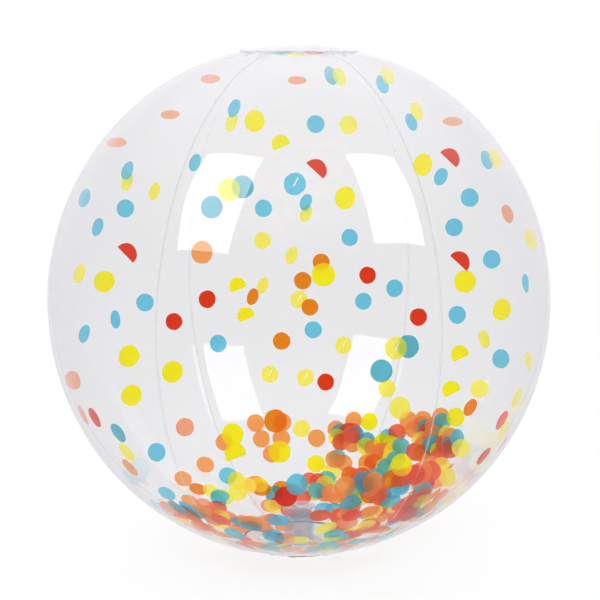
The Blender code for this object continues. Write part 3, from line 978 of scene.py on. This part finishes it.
class Pile:
    """Loose discs, each moved in from the wall until it cuts through none of those before it."""

    def __init__(self):
        self.centres = np.empty((0, 3))
        self.faces = np.empty((0, 3))
        self.discs = []

    def keeps_clear_of_discs(self, centre, face):
        """Whether a disc crosses no other: their planes meet in a line, and each covers a stretch of it."""
        apart = self.centres - centre
        near = np.linalg.norm(apart, axis=1) < 2.1 * DISC_RADIUS
        if not near.any():
            return True
        apart, faces = apart[near], self.faces[near]
        line = np.cross(face, faces)
        size = np.linalg.norm(line, axis=1)
        level = size < PARALLEL
        if (level & (np.abs(apart @ face) < PARALLEL_APART)).any():
            return False
        apart, faces, line = apart[~level], faces[~level], line[~level]
        size = size[~level][:, None]
        reach = (faces * apart).sum(1)[:, None]
        foot = reach * np.cross(line, face) / size ** 2
        line = line / size
        middle = (apart * line).sum(1)
        off_one = (foot ** 2).sum(1)
        off_other = ((apart - foot - middle[:, None] * line) ** 2).sum(1)
        limit = (RIM_ALLOWANCE * DISC_RADIUS) ** 2
        both = (off_one < limit) & (off_other < limit)
        half_one = np.sqrt(np.maximum(0, limit - off_one))
        half_other = np.sqrt(np.maximum(0, limit - off_other))
        return not (both & (np.abs(middle) < half_one + half_other)).any()

    def add(self, azimuth, latitude, face, colour, shape):
        """Settle a disc near a place on the wall: it stacks inwards, square to its own face."""
        polar, turn = math.radians(90 - latitude), math.radians(azimuth)
        wall = wall_normal(polar, turn)
        lean = math.sqrt(max(0.0, 1 - face.dot(wall) ** 2))
        inwards = -face if face.dot(wall) > 0 else face
        start = on_skin(polar, turn, -(FILM + WALL_CLEARANCE + DISC_RADIUS * lean))
        for step in range(SETTLE_STEPS):
            centre = start + inwards * (SETTLE_STEP * step)
            if centre.z > start.z + SETTLE_RISE:
                return
            if not keeps_clear_of_ball(centre, face, DISC_RADIUS):
                continue
            if self.keeps_clear_of_discs(np.array(centre), np.array(face)):
                self.centres = np.vstack((self.centres, centre))
                self.faces = np.vstack((self.faces, face))
                self.discs.append((centre, face, colour, shape))
                return


def leaning_face(azimuth, latitude, uprightness):
    """A disc's face between lying along the wall (0) and standing upright (1)."""
    wall = wall_normal(math.radians(90 - latitude), math.radians(azimuth))
    upright = disc_face("upright", azimuth, latitude)
    if wall.dot(upright) < 0:
        wall = -wall
    return (wall * (1 - uprightness) + upright * uprightness).normalized()


def jostled(face, generator):
    """A face turned a little at random."""
    return (face + Vector(generator.normal(0, JOSTLE, 3))).normalized()


def pick(mix, generator):
    names = [name for name, _ in mix]
    weights = np.array([share for _, share in mix])
    return str(generator.choice(names, p=weights / weights.sum()))


VALVE_WINDOW = 7.5              # degrees to either side of the front where the valve shows through


def hides_valve(azimuth, latitude):
    return abs(azimuth) < VALVE_WINDOW and -53 < latitude < -30


def fill_pile():
    generator = np.random.default_rng(62)
    pile = Pile()
    for colour, shape, uprightness, places in PLACED:
        for azimuth, latitude in places:
            pile.add(azimuth, latitude, leaning_face(azimuth, latitude, uprightness), colour, shape)
    for count, azimuth, latitude, spread, climb, uprightness, mix in SCOOPS:
        for _ in range(count):
            place = (azimuth + spread * generator.normal(), latitude + climb * generator.uniform(-1.7, 1.0))
            if hides_valve(*place):
                continue
            face = jostled(leaning_face(*place, uprightness), generator)
            pile.add(*place, face, pick(mix, generator), "round")
    for _ in range(BED_DISCS):
        azimuth = generator.uniform(-180, 180)
        latitude = math.degrees(BED_REACH * math.sqrt(generator.uniform(0.06, 1))) - 90
        face = jostled(leaning_face(azimuth, latitude, 0.05), generator)
        pile.add(azimuth, latitude, face, pick(MIXED, generator), "round")
    return pile


def build_heap(generator):
    """The loose confetti, one piece for each colour."""
    builders = {colour: bmesh.new() for colour in CONFETTI_MATERIALS}
    for centre, face, colour, shape in fill_pile().discs:
        add_shape(builders[colour], centre, face, shape, Flake(generator, bend=0.0003))
    for index, (colour, builder) in enumerate(builders.items()):
        nodes = ("confetti_heap",) if index == 0 else ()
        add_confetti(f"loose_confetti_{colour}", builder, colour, "loose_confetti", "confetti_mixed",
                     *nodes)


# ---- Camera, light and floor ----

def aim(thing, target):
    thing.rotation_euler = (Vector(target) - thing.location).to_track_quat("-Z", "Y").to_euler()


LENS = 96.7
LENS_SHIFT = 0.0017
CAMERA_ELEVATION = 9.3
CAMERA_DISTANCE = 6.483 * RADIUS


def add_camera():
    data = bpy.data.cameras.new("camera")
    data.lens = LENS
    data.sensor_width = 36
    data.shift_x = LENS_SHIFT
    camera = bpy.data.objects.new("camera", data)
    middle = Vector((0, 0, CENTRE_Z))
    camera.location = middle + direction(0, CAMERA_ELEVATION) * CAMERA_DISTANCE
    aim(camera, middle)
    bpy.context.scene.collection.objects.link(camera)
    bpy.context.scene.camera = camera


def add_softbox(name, top, bottom, across_azimuth, width, radiance):
    """A tall soft light. top and bottom are the middles of its short sides, from the ball's centre."""
    middle = Vector((0, 0, CENTRE_Z)) + 0.5 * (Vector(top) + Vector(bottom))
    tall = (Vector(top) - Vector(bottom)).normalized()
    across = Vector((math.cos(math.radians(across_azimuth)), math.sin(math.radians(across_azimuth)), 0))
    away = across.cross(tall).normalized()
    if away.dot(middle) < 0:
        away = -away
    across = tall.cross(away)
    data = bpy.data.lights.new(name, "AREA")
    data.shape = "RECTANGLE"
    data.size, data.size_y = width, (Vector(top) - Vector(bottom)).length
    data.energy = radiance * math.pi * data.size * data.size_y
    light = bpy.data.objects.new(name, data)
    turn = Matrix((across, tall, away)).transposed().to_4x4()
    light.matrix_world = Matrix.Translation(middle) @ turn
    light.visible_camera = False
    bpy.context.scene.collection.objects.link(light)


STUDIO_FRONT = 0.045            # what the ball mirrors: dark in front, white behind, lighter above
STUDIO_BACK = 0.94
STUDIO_FALLOFF = 2.5
STUDIO_UPWARD = 1.18
STUDIO_OVERHEAD = 0.56          # a pale tent overhead
STUDIO_FILL = 1.42              # light on whatever scatters, against what the camera sees


def add_world():
    """White to look at and to light the confetti. Reflections see a studio that is darker in front."""
    world = bpy.data.worlds.new("studio")
    bpy.context.scene.world = world
    nodes = Nodes(world)
    way = nodes.add("ShaderNodeSeparateXYZ", Vector=nodes.add("ShaderNodeTexCoord").outputs["Generated"])
    up = way.outputs["Z"]
    rearward = nodes.math("MULTIPLY_ADD", way.outputs["Y"], 0.5, 0.5)
    back = nodes.math("MULTIPLY", nodes.math("POWER", rearward, STUDIO_FALLOFF), STUDIO_BACK)
    lift = nodes.ramp(up, -0.15, 0.4, 1.0, STUDIO_UPWARD, "SMOOTHSTEP")
    tent = nodes.ramp(up, 0.35, 0.9, STUDIO_FRONT, STUDIO_FRONT + STUDIO_OVERHEAD, "SMOOTHSTEP")
    total = nodes.math("ADD", nodes.math("MULTIPLY", back, lift), tent)
    studio = nodes.add("ShaderNodeBackground", Color=(0.98, 0.97, 1.0, 1), Strength=total)
    path = nodes.add("ShaderNodeLightPath")
    fill = nodes.ramp(path.outputs["Is Camera Ray"], 0.0, 1.0, STUDIO_FILL, 1.0)
    white = nodes.add("ShaderNodeBackground", Color=(1, 1, 1, 1), Strength=fill)
    nodes.finish(nodes.mix_shader(path.outputs["Is Glossy Ray"], white, studio), "ShaderNodeOutputWorld")


FLOOR_REACH = 6
FLOOR_GLOW = 0.955
FLOOR_MATT = 0.12


def add_floor():
    """A plain pale floor, lit from within so that it meets the white background without a line."""
    builder = bmesh.new()
    bmesh.ops.create_grid(builder, x_segments=1, y_segments=1, size=FLOOR_REACH)
    mesh = bpy.data.meshes.new("floor")
    builder.to_mesh(mesh)
    builder.free()
    floor = bpy.data.objects.new("floor", mesh)
    bpy.context.scene.collection.objects.link(floor)
    nodes = Nodes(bpy.data.materials.new("pale_floor"))
    glow = nodes.add("ShaderNodeEmission", Color=(1, 1, 1, 1), Strength=FLOOR_GLOW)
    matt = nodes.add("ShaderNodeBsdfDiffuse", Color=(0.9, 0.9, 0.9, 1))
    mesh.materials.append(nodes.finish(nodes.mix_shader(FLOOR_MATT, glow, matt)))
    floor.visible_glossy = False


SOFTBOXES = (                   # name, top, bottom, way across in degrees, width, radiance
    ("softbox_right", (0.70, -0.35, 1.45), (0.87, -0.78, 0.58), 28.7, 0.57, 2.8),
    ("softbox_left", (-0.59, -0.36, 1.35), (-0.96, -0.94, 0.60), -30.3, 0.62, 2.8),
)


def set_up_stage():
    scene = bpy.context.scene
    scene.view_settings.view_transform = "Standard"
    scene.cycles.transparent_max_bounces = 64
    add_camera()
    add_world()
    add_floor()
    for softbox in SOFTBOXES:
        add_softbox(*softbox)


def main():
    set_up_stage()
    build_gores()
    build_caps()
    build_stem()
    build_flange()
    build_plug()
    build_tether()
    build_flap()
    build_modelled_discs(random.Random(7))
    build_other_discs(random.Random(11))
    build_heap(random.Random(5))


main()
